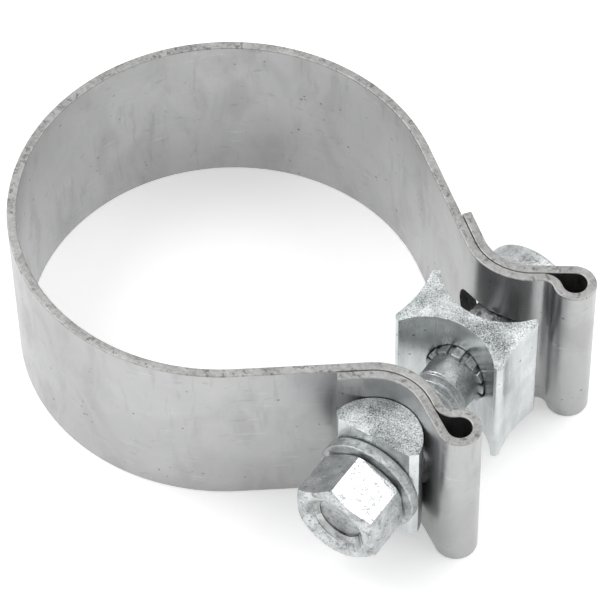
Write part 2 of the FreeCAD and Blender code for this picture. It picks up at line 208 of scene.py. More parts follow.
def strip_line(tail):
    """Middle of the strip's thickness on the head side, from the back of the ring to its end."""
    origin = np.zeros(2)
    seat = np.array([BOLT_X, SEAT_Y])
    ring = BORE + HALF_STRIP
    near = BAR_RADIUS + SEAT_GAP + HALF_STRIP
    far = near + STRIP + LAYER_GAP
    bulb = seat + np.array([far + HALF_STRIP + BULB_STAND, -BULB_DROP])
    bulb_line = BULB_RADIUS + HALF_STRIP
    dip_line = DIP_RADIUS + HALF_STRIP
    dip = meeting_point(seat, far + dip_line + DIP_SLACK, bulb, bulb_line + dip_line)
    bulb_turn = math.degrees(math.atan2(*(dip - bulb)[::-1])) + 360
    flare = crossing_tangent(origin, ring, seat, far, -1)
    sweep = crossing_tangent(seat, far, dip, dip_line, 1)
    fold = crossing_tangent(bulb, bulb_line, seat, near, 1)
    stretches = [
        arc(origin, ring, 180, flare + 90, 1.5),
        arc(seat, far, flare - 90, sweep - 90),
        arc(dip, dip_line, sweep + 90, bulb_turn - 180, 8),
        arc(bulb, bulb_line, bulb_turn, fold - 90 + 360, 8),
        arc(seat, near, fold + 90, flare - 90 + 360),
    ]
    end = stretches[-1][-1]
    stretches.append([polar(end, tail, flare + 180)])
    line = list(stretches[0])
    for stretch in stretches[1:]:
        line += run(line[-1], stretch[0]) + list(stretch)
    return np.array(line)


# ---- meshes ------------------------------------------------------------------------------

def object_from(mesh, name):
    """A piece in the scene that holds a mesh or a curve."""
    piece = bpy.data.objects.new(name, mesh)
    bpy.context.scene.collection.objects.link(piece)
    return piece


def mesh_object(name, points, faces):
    """A piece from corners and faces, with its normals turned outwards."""
    mesh = bpy.data.meshes.new(name)
    mesh.from_pydata([tuple(point) for point in points], [], faces)
    piece = object_from(mesh, name)
    tidy(piece)
    return piece


def tidy(piece, merge=0.002 * MM):
    """Merges doubled corners, drops flat faces and turns the normals outwards."""
    work = bmesh.new()
    work.from_mesh(piece.data)
    bmesh.ops.remove_doubles(work, verts=work.verts, dist=merge)
    bmesh.ops.dissolve_degenerate(work, edges=work.edges, dist=merge / 4)
    bmesh.ops.recalc_face_normals(work, faces=work.faces)
    work.to_mesh(piece.data)
    work.free()
    piece.data.update()


def baked(piece):
    """Applies a piece's modifiers to its mesh."""
    view = bpy.context.evaluated_depsgraph_get()
    mesh = bpy.data.meshes.new_from_object(
        piece.evaluated_get(view), preserve_all_data_layers=True, depsgraph=view)
    piece.modifiers.clear()
    piece.data = mesh
    return piece


def combine(piece, tool, operation):
    """Cuts a piece with a tool, or keeps what they share, and removes the tool."""
    step = piece.modifiers.new("combine", "BOOLEAN")
    step.operation = operation
    step.solver = "EXACT"
    step.object = tool
    step.material_mode = "TRANSFER"
    baked(piece)
    bpy.data.objects.remove(tool)
    return piece


def soften(piece, width, angle=35):
    """Rounds every edge sharper than an angle."""
    tidy(piece)
    step = piece.modifiers.new("soften", "BEVEL")
    step.width = width
    step.segments = 2
    step.limit_method = "ANGLE"
    step.angle_limit = math.radians(angle)
    step.use_clamp_overlap = True
    return baked(piece)


def shade(piece, angle=40):
    """Smooth shading that breaks at edges sharper than an angle, with flat faces kept flat."""
    piece.data.shade_smooth()
    piece.data.set_sharp_from_angle(angle=math.radians(angle))
    step = piece.modifiers.new("flat", "WEIGHTED_NORMAL")
    step.keep_sharp = True
    return baked(piece)


def prism(name, outline, low, high, axis="z"):
    """A closed outline extruded along z, or along y for an outline in x and z."""
    count = len(outline)
    points = []
    for level in (low, high):
        for a, b in outline:
            points.append((a, b, level) if axis == "z" else (a, level, b))
    faces = [tuple(range(count)), tuple(range(count, 2 * count))]
    for index in range(count):
        after = (index + 1) % count
        faces.append((index, after, count + after, count + index))
    return mesh_object(name, points, faces)


def lathe(name, profile, steps=96):
    """A closed profile of (radius, y) turned about the bolt's axis."""
    points = []
    faces = []
    count = len(profile)
    for step in range(steps):
        turn = 2 * math.pi * step / steps
        for radius, y in profile:
            points.append((BOLT_X + radius * math.cos(turn), y, radius * math.sin(turn)))
    for step in range(steps):
        here, after = step * count, (step + 1) % steps * count
        for index in range(count):
            up = (index + 1) % count
            faces.append((here + index, after + index, after + up, here + up))
    return mesh_object(name, points, faces)


def rod(radius, low, high, steps=96):
    """A closed cylinder about the bolt's axis, to cut holes with."""
    outline = [polar((BOLT_X, 0), radius, 360 * step / steps) for step in range(steps)]
    return prism("rod", outline, low, high, axis="y")


def threaded(name, radius, low, high, fade=0.0, chamfer=0.0, steps=72):
    """A closed screw surface about the bolt's axis, whose rows follow the helix.

    The groove may fade out below the high end, and the low end may be chamfered.
    """
    crest, flank = 0.1, 0.76
    shares = (-0.07, 0.0, 0.07, 0.25, 0.43, 0.5, 0.57, 0.75)

    def depth(share):
        slope = 2 * abs(((share + 0.5) % 1.0) - 0.5)
        return min(1.0, max(0.0, (slope - crest) / flank))

    def surface(y, turn):
        cut = THREAD_DEPTH * depth(-y / PITCH - turn / (2 * math.pi))
        if fade:
            level = min(1.0, (high - y) / fade)
            cut *= level * level * (3 - 2 * level)
        shape = radius - cut
        gap = y - low
        if gap < chamfer:
            shape = min(shape, radius - chamfer + gap)
        return shape

    first = math.floor(-high / PITCH) - 2
    last = math.ceil(-low / PITCH) + 1
    rows = [turn + share for turn in range(first, last) for share in shares]
    points = []
    faces = []
    for row in rows:
        for step in range(steps):
            turn = 2 * math.pi * step / steps
            y = min(high, max(low, -(row + step / steps) * PITCH))
            reach = surface(y, turn)
            points.append((BOLT_X + reach * math.cos(turn), y, reach * math.sin(turn)))
    shift = len(shares)
    for row in range(len(rows) - 1):
        for step in range(steps):
            here, above = row * steps + step, (row + 1) * steps + step
            if step < steps - 1:
                faces.append((here, here + 1, above + 1, above))
            elif row + 1 + shift < len(rows):
                start = (row + shift) * steps
                faces.append((here, start, start + steps, above))
    piece = mesh_object(name, points, faces)
    close_ends(piece, low, high)
    return piece


def close_ends(piece, low, high):
    """Fans the two open ends of a screw surface to the bolt's axis."""
    work = bmesh.new()
    work.from_mesh(piece.data)
    bmesh.ops.remove_doubles(work, verts=work.verts, dist=0.004 * MM)
    bmesh.ops.dissolve_degenerate(work, edges=work.edges, dist=0.001 * MM)
    for y in (low, high):
        rim = [edge for edge in work.edges if edge.is_boundary
               and all(abs(corner.co.y - y) < 0.05 * MM for corner in edge.verts)]
        middle = work.verts.new((BOLT_X, y, 0))
        for edge in rim:
            work.faces.new((edge.verts[0], edge.verts[1], middle))
    bmesh.ops.recalc_face_normals(work, faces=work.faces)
    work.to_mesh(piece.data)
    work.free()


# ---- geometry nodes ----------------------------------------------------------------------

class Tree:
    """A geometry tree with named inputs, run once on a piece and baked."""

    def __init__(self, name):
        self.tree = bpy.data.node_groups.new(name, "GeometryNodeTree")
        self.ports = self.tree.interface
        self.ports.new_socket("Geometry", in_out="INPUT", socket_type="NodeSocketGeometry")
        self.ports.new_socket("Geometry", in_out="OUTPUT", socket_type="NodeSocketGeometry")
        self.inputs = {}
        self.source = self.tree.nodes.new("NodeGroupInput")
        self.sink = self.tree.nodes.new("NodeGroupOutput")

    def value(self, name, kind="NodeSocketFloat"):
        """Adds a named input and returns its socket inside the tree."""
        port = self.ports.new_socket(name, in_out="INPUT", socket_type=kind)
        self.inputs[name] = port.identifier
        return self.source.outputs[name]

    def node(self, kind, settings=None, inputs=None, output=0):
        """Adds a node, sets it, then fills its inputs with sockets or constants."""
        made = self.tree.nodes.new("GeometryNode" + kind if kind[0] != "@" else kind[1:])
        for key, setting in (settings or {}).items():
            setattr(made, key, setting)
        for key, given in (inputs or {}).items():
            if isinstance(given, bpy.types.NodeSocket):
                self.tree.links.new(given, made.inputs[key])
            else:
                made.inputs[key].default_value = given
        return made.outputs[output]

    def finish(self, shape):
        """Sends a shape out of the tree."""
        self.tree.links.new(shape, self.sink.inputs[0])

    def run(self, piece, **values):
        """Runs the tree on a piece with these sizes and bakes the mesh that it makes."""
        step = piece.modifiers.new(self.tree.name, "NODES")
        step.node_group = self.tree
        for name, given in values.items():
            step[self.inputs[name]] = given
        view = bpy.context.evaluated_depsgraph_get()
        mesh = bpy.data.meshes.new_from_object(
            piece.evaluated_get(view), preserve_all_data_layers=True, depsgraph=view)
        made = object_from(mesh, piece.name)
        bpy.data.objects.remove(piece)
        return made


def line_object(name, points):
    """A path of straight steps through points in the XY plane."""
    curve = bpy.data.curves.new(name, "CURVE")
    curve.dimensions = "3D"
    spline = curve.splines.new("POLY")
    spline.points.add(len(points) - 1)
    for point, (x, y) in zip(spline.points, points):
        point.co = (x, y, 0, 1)
    return object_from(curve, name)


def strip_tree():
    """Sweeps a flat bar with rolled edges along a path, with its length along the path in a map."""
    tree = Tree("bent_strip")
    thickness = tree.value("Thickness")
    width = tree.value("Width")
    roll = tree.value("Edge roll")
    finish = tree.value("Finish", "NodeSocketMaterial")
    along = tree.node("SplineParameter", output="Length")
    path = tree.node("StoreNamedAttribute", {"data_type": "FLOAT", "domain": "POINT"},
                     {"Geometry": tree.source.outputs[0], "Name": "along", "Value": along})
    section = tree.node("CurvePrimitiveQuadrilateral", {"mode": "RECTANGLE"},
                        {"Width": thickness, "Height": width})
    section = tree.node("FilletCurve", {"mode": "POLY"},
                        {"Curve": section, "Radius": roll, "Count": 3})
    swept = tree.node("CurveToMesh", None,
                      {"Curve": path, "Profile Curve": section, "Fill Caps": True})
    place = tree.node("InputPosition")
    height = tree.node("@ShaderNodeSeparateXYZ", None, {"Vector": place}, "Z")
    length = tree.node("InputNamedAttribute", {"data_type": "FLOAT"}, {"Name": "along"})
    pair = tree.node("@ShaderNodeCombineXYZ", None, {"X": length, "Y": height})
    mapped = tree.node("StoreNamedAttribute", {"data_type": "FLOAT2", "domain": "CORNER"},
                       {"Geometry": swept, "Name": "strip_map", "Value": pair})
    solid = tree.node("RealizeInstances", None, {"Geometry": mapped})
    tree.finish(tree.node("SetMaterial", None, {"Geometry": solid, "Material": finish}))
    return tree


def rib_tree():
    """Stands a rib at each step of a circle about the bolt's axis."""
    tree = Tree("rib_ring")
    count = tree.value("Ribs", "NodeSocketInt")
    radius = tree.value("Radius")
    finish = tree.value("Finish", "NodeSocketMaterial")
    ring = tree.node("MeshCircle", {"fill_type": "NONE"}, {"Vertices": count, "Radius": radius})
    place = tree.node("InputPosition")
    turn = tree.node("@FunctionNodeAlignEulerToVector", {"axis": "X"}, {"Vector": place})
    stood = tree.node("InstanceOnPoints", None,
                      {"Points": ring, "Instance": tree.source.outputs[0], "Rotation": turn})
    solid = tree.node("RealizeInstances", None, {"Geometry": stood})
    tree.finish(tree.node("SetMaterial", None, {"Geometry": solid, "Material": finish}))
    return tree


# ---- finishes ----------------------------------------------------------------------------

class Wire:
    """A socket in a material: arithmetic on it adds Math nodes."""

    def __init__(self, finish, socket):
        self.finish = finish
        self.socket = socket

    def _math(self, operation, *others):
        return self.finish.node("Math", {"operation": operation}, (self, *others))

    def __add__(self, other):
        return self._math("ADD", other)

    def __mul__(self, other):
        return self._math("MULTIPLY", other)

    def __sub__(self, other):
        return self._math("SUBTRACT", other)

    def __rsub__(self, other):
        return self.finish.node("Math", {"operation": "SUBTRACT"}, (other, self))

    def __truediv__(self, other):
        return self._math("DIVIDE", other)

    __radd__ = __add__
    __rmul__ = __mul__

    def clip(self):
        """Held between 0 and 1."""
        return self.finish.node("Clamp", None, (self,))

    def above(self, edge, soft):
        """0 below an edge and 1 above it, over a soft width."""
        return ((self - edge) / soft + 0.5).clip()


# Rays that see the table and the surroundings as white.
SHOWN_RAYS = ("Is Camera Ray", "Is Glossy Ray", "Is Transmission Ray")


class Finish:
    """A material with a Principled surface."""

    def __init__(self, name):
        self.material = bpy.data.materials.new(name)
        self.material.use_nodes = True
        self.nodes = self.material.node_tree.nodes
        self.links = self.material.node_tree.links
        self.surface = self.nodes["Principled BSDF"]
        self.place = self.node("TexCoord", output="Object")

    def node(self, kind, settings=None, inputs=(), output=0):
        """Adds a node: its settings first, then wires or constants for its inputs."""
        made = self.nodes.new("ShaderNode" + kind)
        for key, setting in (settings or {}).items():
            setattr(made, key, setting)
        pairs = inputs.items() if isinstance(inputs, dict) else enumerate(inputs)
        for key, given in pairs:
            if isinstance(given, Wire):
                self.links.new(given.socket, made.inputs[key])
            else:
                made.inputs[key].default_value = given
        return Wire(self, made.outputs[output])

    def strip_place(self):
        """Where a point lies along the strip and across it, in metres."""
        return self.node("UVMap", {"uv_map": "strip_map"})

    def stretched(self, place, scale, turn=0.0):
        """Coordinates stretched along the axes, and turned about z."""
        return self.node("Mapping", None,
                         {"Vector": place, "Scale": scale, "Rotation": (0, 0, turn)})

    def noise(self, place, scale, detail=3.0, rough=0.55, warp=0.0):
        """Soft noise of a scale in cells per metre."""
        return self.node("TexNoise", None,
                         {"Vector": place, "Scale": scale, "Detail": detail,
                          "Roughness": rough, "Distortion": warp})

    def flecks(self, place, scale, size, soft):
        """Scattered specks: 1 in the middle of each and 0 between them."""
        cells = self.node("TexVoronoi", None, {"Vector": place, "Scale": scale}, "Distance")
        return 1 - cells.above(size, soft)

    def blend(self, share, low, high):
        """A colour between two others."""
        def four(colour):
            return colour if isinstance(colour, Wire) else (*colour, 1.0)
        return self.node("Mix", {"data_type": "RGBA"},
                         {0: share, 6: four(low), 7: four(high)}, 2)

    def bump(self, height, distance, strength=1.0):
        """A bump normal from a height of 0 to 1 and its real depth in metres."""
        return self.node("Bump", None,
                         {"Height": height, "Distance": distance, "Strength": strength})

    def light_path(self):
        """Three wires: 1 for camera rays, for mirror rays and for rays through glass."""
        return [self.node("LightPath", output=ray) for ray in SHOWN_RAYS]

    def put(self, **values):
        """Fills the surface's inputs with wires or constants."""
        for key, given in values.items():
            socket = self.surface.inputs[key.replace("_", " ")]
            if isinstance(given, Wire):
                self.links.new(given.socket, socket)
            elif isinstance(given, tuple):
                socket.default_value = (*given, 1.0)
            else:
                socket.default_value = given
        return self.material


def rolled_stainless():
    """Strip faces: satin grey steel with clouds, stains, streaks, scuffs and dark specks."""
    steel = Finish("rolled_stainless")
    flat = steel.strip_place()
    clouds = steel.noise(steel.place, 95, 4, 0.62, 0.6)
    wide = steel.noise(steel.place, 30, 2)
    stains = steel.noise(steel.stretched(flat, (150, 60, 1)), 1, 4, 0.6, 0.8).above(0.58, 0.16)
    lines = steel.noise(steel.stretched(flat, (40, 3000, 1)), 1, 3, 0.6)
    scuffs = steel.noise(steel.stretched(flat, (110, 900, 1), 0.35), 1, 4, 0.6).above(0.66, 0.06)
    specks = steel.flecks(steel.place, 560, 0.13, 0.08)
    specks = specks * steel.noise(steel.place, 190).above(0.58, 0.08)
    smears = steel.noise(steel.stretched(flat, (260, 700, 1), -0.5), 1, 3, 0.6).above(0.66, 0.05)
    streaks = steel.noise(steel.stretched(flat, (620, 90, 1), 0.12), 1, 4, 0.65).above(0.6, 0.09)
    tone = (clouds * 0.6 + wide * 0.4).above(0.5, 0.42)
    colour = steel.blend(tone, (0.39, 0.39, 0.39), (0.485, 0.487, 0.491))
    colour = steel.blend(streaks * wide.above(0.5, 0.12) * 0.22, colour, (0.23, 0.227, 0.22))
    colour = steel.blend(stains * 0.2, colour, (0.22, 0.216, 0.208))
    colour = steel.blend(scuffs * 0.25, colour, (0.62, 0.625, 0.63))
    colour = steel.blend((specks * 0.6 + smears * 0.16).clip(), colour, (0.10, 0.097, 0.093))
    rough = 0.24 + tone * 0.06 + lines * 0.08 + stains * 0.06 - scuffs * 0.05 + specks * 0.2
    height = lines * 0.2 + clouds * 0.3 + scuffs * 0.3 - specks * 0.6 + wide * 0.5
    return steel.put(Base_Color=colour, Metallic=1.0, Roughness=rough.clip(),
                     Normal=steel.bump(height, 0.02 * MM, 0.9))


def sheared_steel():
    """Strip edges: dull torn metal with blotches, pale crumbs and dark chips."""
    steel = Finish("sheared_steel")
    crumbs = steel.noise(steel.place, 1500, 4, 0.7)
    blotch = steel.noise(steel.place, 260, 3)
    chips = steel.noise(steel.place, 900, 3, 0.65).above(0.61, 0.07)
    colour = steel.blend(blotch.above(0.5, 0.4), (0.21, 0.21, 0.207), (0.385, 0.385, 0.381))
    colour = steel.blend(crumbs.above(0.5, 0.2) * 0.35, colour, (0.58, 0.58, 0.57))
    colour = steel.blend(chips * 0.6, colour, (0.09, 0.087, 0.083))
    rough = (0.34 + crumbs * 0.26).clip()
    return steel.put(Base_Color=colour, Metallic=0.95, Roughness=rough,
                     Normal=steel.bump(crumbs * 0.7 + blotch * 0.3, 0.09 * MM, 1.0))


def sawn_zinc():
    """Ends of the block and bar: plated metal over a torn saw cut, with pits and sparks."""
    zinc = Finish("sawn_zinc")
    crumbs = zinc.noise(zinc.place, 3200, 5, 0.75)
    lumps = zinc.noise(zinc.place, 1100, 3, 0.6)
    pits = zinc.noise(zinc.place, 3400, 3, 0.75).above(0.56, 0.08)
    patches = zinc.noise(zinc.place, 190, 3, 0.6)
    sparks = zinc.noise(zinc.place, 4600, 2, 0.6).above(0.6, 0.05)
    dark = pits * (0.35 + 0.55 * (1 - patches.above(0.5, 0.25)))
    colour = zinc.blend(patches.above(0.5, 0.3), (0.31, 0.335, 0.34), (0.80, 0.83, 0.84))
    colour = zinc.blend(dark.clip(), colour, (0.10, 0.108, 0.108))
    colour = zinc.blend(sparks * 0.6, colour, (0.92, 0.95, 0.96))
    rough = (0.22 + crumbs * 0.3 + pits * 0.15).clip()
    height = crumbs * 0.7 + lumps * 0.6 - pits * 0.3
    return zinc.put(Base_Color=colour, Metallic=1.0, Roughness=rough,
                    Normal=zinc.bump(height, 0.2 * MM, 1.0))


def drawn_zinc():
    """Sides of the block and bar: smooth plated metal with fine lines along the pipe."""
    zinc = Finish("drawn_zinc")
    lines = zinc.noise(zinc.stretched(zinc.place, (1, 1, 0.03)), 1900, 3, 0.6)
    broad = zinc.noise(zinc.stretched(zinc.place, (1, 1, 0.15)), 420, 3)
    clouds = zinc.noise(zinc.place, 200, 3, 0.6)
    pits = zinc.flecks(zinc.place, 620, 0.15, 0.1)
    pits = pits * zinc.noise(zinc.place, 220, 2).above(0.57, 0.1)
    colour = zinc.blend((broad * 0.5 + clouds * 0.5).above(0.5, 0.3), (0.50, 0.525, 0.53),
                        (0.76, 0.79, 0.80))
    colour = zinc.blend(pits * 0.75, colour, (0.14, 0.144, 0.14))
    rough = (0.12 + lines * 0.14 + clouds * 0.12).clip()
    height = lines * 0.4 + broad * 0.5 + clouds * 0.5 - pits * 0.6
    return zinc.put(Base_Color=colour, Metallic=1.0, Roughness=rough,
                    Normal=zinc.bump(height, 0.03 * MM, 0.9))


def plated_zinc(name, low, high, rough, grit, depth):
    """Turned and forged fastener surfaces: bright plating with dents, grit and small pits.

    low and high are its dull and bright colours, rough its least roughness, grit how coarse
    it is from 0 to 1, and depth the depth of its dents in metres.
    """
    zinc = Finish(name)
    dents = zinc.noise(zinc.place, 360, 3, 0.6)
    dings = zinc.noise(zinc.place, 780, 3, 0.7).above(0.63, 0.035)
    grain = zinc.noise(zinc.place, 2800, 4, 0.7)
    pits = zinc.noise(zinc.place, 2100, 3, 0.7).above(0.66 - 0.06 * grit, 0.06)
    wear = zinc.noise(zinc.place, 620, 2).above(0.6, 0.08)
    rust = zinc.noise(zinc.place, 900, 3, 0.6).above(0.66, 0.04)
    rust = rust * zinc.noise(zinc.place, 160).above(0.5, 0.1)
    sparks = zinc.noise(zinc.place, 4400, 2, 0.6).above(0.6, 0.05)
    colour = zinc.blend(dents.above(0.5, 0.3), low, high)
    colour = zinc.blend(pits * 0.6, colour, (0.11, 0.114, 0.11))
    colour = zinc.blend(wear * 0.3 * grit, colour, (0.80, 0.82, 0.83))
    colour = zinc.blend(sparks * 0.5 * grit, colour, (0.88, 0.91, 0.92))
    colour = zinc.blend(dings * 0.55, colour, (0.16, 0.165, 0.165))
    colour = zinc.blend(rust * 0.6, colour, (0.17, 0.13, 0.115))
    rough = (rough + grain * (0.1 + 0.2 * grit) + dents * 0.08).clip()
    height = dents * 0.5 + grain * grit - pits * 0.5 - dings * 0.4
    return zinc.put(Base_Color=colour, Metallic=1.0, Roughness=rough,
                    Normal=zinc.bump(height, depth, 1.0))


STEEL = rolled_stainless()
SHEARED = sheared_steel()
SAWN = sawn_zinc()
DRAWN = drawn_zinc()
HEX_ZINC = plated_zinc("hex_zinc", (0.38, 0.40, 0.406), (0.60, 0.62, 0.625),
                       rough=0.12, grit=0.25, depth=0.06 * MM)
END_ZINC = plated_zinc("end_zinc", (0.36, 0.378, 0.38), (0.68, 0.70, 0.705),
                       rough=0.22, grit=1.0, depth=0.16 * MM)
DISC_ZINC = plated_zinc("disc_zinc", (0.30, 0.315, 0.315), (0.52, 0.535, 0.54),
                        rough=0.2, grit=0.7, depth=0.1 * MM)
BOLT_ZINC = plated_zinc("bolt_zinc", (0.31, 0.314, 0.305), (0.60, 0.606, 0.59),
                        rough=0.18, grit=0.8, depth=0.14 * MM)
THREAD_ZINC = plated_zinc("thread_zinc", (0.30, 0.306, 0.298), (0.54, 0.55, 0.54),
                          rough=0.18, grit=0.5, depth=0.05 * MM)


def paint(piece, *materials):
    """Gives a piece its list of finishes."""
    piece.data.materials.clear()
    for material in materials:
        piece.data.materials.append(material)


def paint_faces(piece, material, test):
    """Gives the faces that pass a test on their centre and normal another of its finishes."""
    index = list(piece.data.materials).index(material)
    for face in piece.data.polygons:
        if test(face.center, face.normal):
            face.material_index = index


# ---- putting together --------------------------------------------------------------------

def stand_in(piece, body, node):
    """Makes a finished piece ride on its body in place of the CAD node."""
    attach(piece, body)
    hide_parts(node)


def joined(name, parts):
    """One piece from several, each with its own finish."""
    work = bmesh.new()
    finishes = []
    for part in parts:
        start = len(work.faces)
        work.from_mesh(part.data)
        work.faces.ensure_lookup_table()
        names = [material.name for material in part.data.materials]
        for face in work.faces[start:]:
            own = names[min(face.material_index, len(names) - 1)]
            if own not in finishes:
                finishes.append(own)
            face.material_index = finishes.index(own)
    mesh = bpy.data.meshes.new(name)
    work.to_mesh(mesh)
    work.free()
    for part in parts:
        bpy.data.objects.remove(part)
    piece = object_from(mesh, name)
    paint(piece, *[bpy.data.materials[own] for own in finishes])
    return piece


# ---- band --------------------------------------------------------------------------------

def slot_tool(side):
    """A bar with round ends that cuts the bolt's slot through both layers of a seat."""
    left = (BOLT_X - SLOT_INBOARD + SLOT_HALF, 0)
    right = (BOLT_X + SLOT_OUTBOARD - SLOT_HALF, 0)
    outline = arc(right, SLOT_HALF, -90, 90, 5) + arc(left, SLOT_HALF, 90, 270, 5)
    levels = sorted((side * SLOT_START, side * (SEAT_Y + BAR_RADIUS)))
    tool = prism("slot_tool", outline, *levels, axis="y")
    paint(tool, SHEARED)
    return tool


def bevel_rims(piece):
    """Rolls over the slot's edges and the strip's end, but not the seam at the back."""
    work = bmesh.new()
    work.from_mesh(piece.data)
    back = -BORE + SEAM_LENGTH
    rims = [edge for edge in work.edges
            if len(edge.link_faces) == 2 and edge.calc_face_angle(0) > math.radians(55)
            and all(corner.co.x > back for corner in edge.verts)]
    bmesh.ops.bevel(work, geom=rims, offset=RIM_ROLL, segments=2, profile=0.5, affect="EDGES",
                    clamp_overlap=True)
    work.to_mesh(piece.data)
    work.free()


def make_band_half(tree, name, side, tail, nodes):
    """Half of the ring with its folded seat: side is 1 at the bolt's head, -1 at the nut."""
    line = strip_line(tail)
    line[:, 1] *= side
    piece = tree.run(line_object(name, line), **{
        "Thickness": STRIP, "Width": WIDTH, "Edge roll": EDGE_ROLL, "Finish": STEEL})
    paint(piece, STEEL, SHEARED)
    combine(piece, slot_tool(side), "DIFFERENCE")
    bevel_rims(piece)
    rim = WIDTH / 2 - 1.5 * EDGE_ROLL
    paint_faces(piece, SHEARED, lambda centre, normal: abs(centre.z) > rim)
    shade(piece, 38)
    -BORE - STRIP
    2 * HINGE_X + BORE + STRIP
    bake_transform(piece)
    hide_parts(*nodes)


# ---- bolt --------------------------------------------------------------------------------

def make_head():
    """Round head whose front is half-round across the seat."""
    front = SEAT_Y - BAR_RADIUS
    corner = (HEAD_RADIUS - HEAD_ROUNDING, HEAD_TOP - HEAD_ROUNDING)
    rim = [tuple(point) for point in arc(corner, HEAD_ROUNDING, 0, 90, 18)]
    profile = [(0.0, front), (HEAD_RADIUS, front)] + rim + [(0.0, HEAD_TOP)]
    head = lathe("bolt_head", profile)
    high = HEAD_TOP + 2 * TOOL_MARGIN
    wide = HEAD_RADIUS + 2 * TOOL_MARGIN
    keep = arc((BOLT_X, SEAT_Y), BAR_RADIUS, 180, 360, 3)
    keep += [np.array([BOLT_X + wide, SEAT_Y]), np.array([BOLT_X + wide, high]),
             np.array([BOLT_X - wide, high]), np.array([BOLT_X - wide, SEAT_Y])]
    combine(head, prism("nose_tool", keep, -wide, wide), "INTERSECT")
    soften(head, HEAD_ROLL)
    paint(head, DISC_ZINC)
    return head


def make_ribs():
    """Square ribs round the shank, with bevelled ends."""
    rise = RIB_CROWN - RIB_FOOT
    half = RIB_BREADTH / 2
    outline = [(0, -half), (rise, -half), (rise, half), (0, half)]
    rib = prism("ribs", outline, -(RIB_BACK - RIB_FRONT) / 2, (RIB_BACK - RIB_FRONT) / 2)
    soften(rib, RIB_ROLL)
    ring = rib_tree().run(rib, **{"Ribs": RIBS, "Radius": RIB_FOOT, "Finish": BOLT_ZINC})
    upright = Matrix.Rotation(math.radians(90), 4, "X")
    middle = Matrix.Translation((BOLT_X, (RIB_FRONT + RIB_BACK) / 2, 0))
    ring.data.transform(middle @ upright)
    paint(ring, BOLT_ZINC)
    return ring


def make_bolt():
    """Head, ribs, plain shank and screw thread in one piece."""
    screw = threaded("bolt_screw", SHANK, BOLT_LOW, THREAD_TOP, THREAD_FADE, BOLT_CHAMFER)
    paint(screw, THREAD_ZINC)
    start = THREAD_TOP - OVERLAP
    plain = [(0.0, start), (SHANK, start),
             (SHANK, RIB_FRONT + ROOT_START), (RIB_ROOT, RIB_FRONT + ROOT_FULL),
             (RIB_ROOT, RIB_BACK - ROOT_FULL), (SHANK, RIB_BACK - ROOT_START),
             (SHANK, SEAT_Y), (0.0, SEAT_Y)]
    shank = lathe("bolt_shank", plain, 72)
    paint(shank, BOLT_ZINC)
    parts = [shade(make_head()), shade(make_ribs(), 50), shade(shank), shade(screw, 28)]
    stand_in(joined("bolt_piece", parts), "bolt", "bolt")


# ---- block, bar, washer and nut ----------------------------------------------------------

def three_point_arc(first, middle, last, count=24):
    """Points round the circle through three points, without the first."""
    ax, ay = first
    bx, by = middle
    cx, cy = last
    d = 2 * (ax * (by - cy) + bx * (cy - ay) + cx * (ay - by))
    ux = ((ax * ax + ay * ay) * (by - cy) + (bx * bx + by * by) * (cy - ay)
          + (cx * cx + cy * cy) * (ay - by)) / d
    uy = ((ax * ax + ay * ay) * (cx - bx) + (bx * bx + by * by) * (ax - cx)
          + (cx * cx + cy * cy) * (bx - ax)) / d
    radius = math.hypot(ax - ux, ay - uy)
    start = math.degrees(math.atan2(ay - uy, ax - ux))
    end = math.degrees(math.atan2(cy - uy, cx - ux))
    while end - start > 180:
        end -= 360
    while end - start < -180:
        end += 360
    points = arc((ux, uy), radius, start, end, abs(end - start) / count)
    return [tuple(point) for point in points][1:]


def round_tip(x, y, start, end):
    """The blunt round end of one of the block's four tips, without its first point."""
    return [tuple(point) for point in arc((x, y), BLOCK_TIP, start, end, 22.5)][1:]


def block_outline():
    """Deep hollows that face the seats, shallow ones at the ends, and blunt tips."""
    long, deep = BLOCK_LENGTH / 2, BLOCK_DEPTH / 2
    waist = BLOCK_WAIST / 2
    inner = long - BLOCK_TIP
    points = [(-inner, deep)]
    points += three_point_arc((-inner, deep), (0, waist), (inner, deep))
    points += round_tip(inner, deep - BLOCK_TIP, 90, 0)
    points += three_point_arc((long, deep - BLOCK_TIP), (long - END_HOLLOW, 0),
                              (long, BLOCK_TIP - deep), 10)
    points += round_tip(inner, BLOCK_TIP - deep, 0, -90)
    points += three_point_arc((inner, -deep), (0, -waist), (-inner, -deep))
    points += round_tip(-inner, BLOCK_TIP - deep, 270, 180)
    points += three_point_arc((-long, BLOCK_TIP - deep), (END_HOLLOW - long, 0),
                              (-long, deep - BLOCK_TIP), 10)
    points += round_tip(-inner, deep - BLOCK_TIP, 180, 90)[:-1]
    return [(BOLT_X + x, BLOCK_Y + y) for x, y in points]


def cut_stock(name, outline, height, hole, roll):
    """A length of drawn section: sawn ends, drawn sides, and a hole for the bolt."""
    piece = prism(name, outline, -height / 2, height / 2)
    paint(piece, DRAWN, SAWN)
    tool = rod(hole, -SEAT_Y - 2 * BAR_RADIUS, SEAT_Y)
    paint(tool, DRAWN)
    combine(piece, tool, "DIFFERENCE")
    soften(piece, roll, 28)
    paint_faces(piece, SAWN, lambda centre, normal:
                abs(normal.z) > 0.55 and abs(centre.z) > height / 2 - roll)
    return shade(piece)


def make_block():
    """Star-shaped block that keeps the two seats apart."""
    piece = cut_stock("spacer_block_piece", block_outline(), BLOCK_HEIGHT, BLOCK_BORE, BLOCK_ROLL)
    stand_in(piece, "spacer", "spacer_block")


